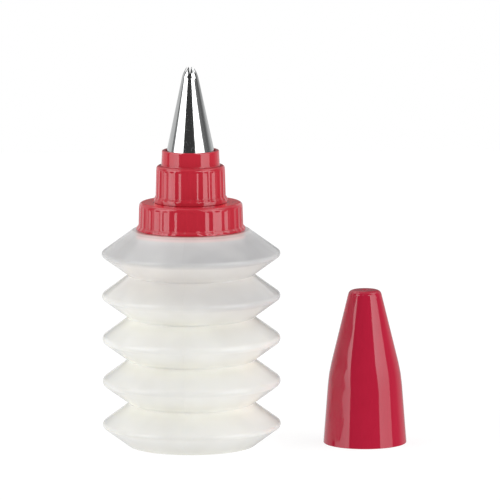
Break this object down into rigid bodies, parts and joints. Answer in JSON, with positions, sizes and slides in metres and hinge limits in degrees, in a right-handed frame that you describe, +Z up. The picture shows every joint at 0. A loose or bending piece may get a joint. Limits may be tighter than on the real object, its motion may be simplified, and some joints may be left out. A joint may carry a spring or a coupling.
{
  "type": "icing bottle",
  "caption": "Squeezable bellows icing bottle with a red screw closure, a coupling nut, a steel star nozzle and a tall cap standing beside it.",
  "frame": {"origin": "on the ground plane, in the middle of the footprint of the bottle and the cap that stands beside it", "axes": "+Z up along the bottle's axis, +X from the bottle towards its cap, +Y away from the front"},
  "size_m": [0.1062, 0.062, 0.1329],
  "materials": {
    "milky_plastic": "translucent, satin",
    "red_plastic": "glossy",
    "polished_steel": "polished"
  },
  "bodies": {
    "bottle": {"bottle_base": "milky_plastic", "bellows": "milky_plastic"},
    "neck": {"bottle_neck": "milky_plastic"},
    "closure": {"screw_closure": "red_plastic"},
    "nozzle": {"star_nozzle": "polished_steel"},
    "nut": {"coupling_nut": "red_plastic"},
    "cap": {"protective_cap": "red_plastic"}
  },
  "joints": [
    {"name": "bellows_squeeze", "type": "slide", "parent": "bottle", "child": "neck", "axis": [0, 0, -1], "range_m": [0, 0.03], "stiffness_N_per_m": 1500, "deforming": ["bellows"]},
    {"name": "closure_lift", "type": "slide", "parent": "neck", "child": "closure", "axis": [0, 0, 1], "range_m": [0, 0.03]},
    {"name": "nozzle_lift", "type": "slide", "parent": "closure", "child": "nozzle", "axis": [0, 0, 1], "range_m": [0, 0.03]},
    {"name": "nut_lift", "type": "slide", "parent": "nozzle", "child": "nut", "axis": [0, 0, 1], "range_m": [0, 0.05]},
    {"name": "cap_lift", "type": "slide", "parent": "bottle", "child": "cap", "axis": [0, 0, 1], "range_m": [0, 0.14]}
  ]
}
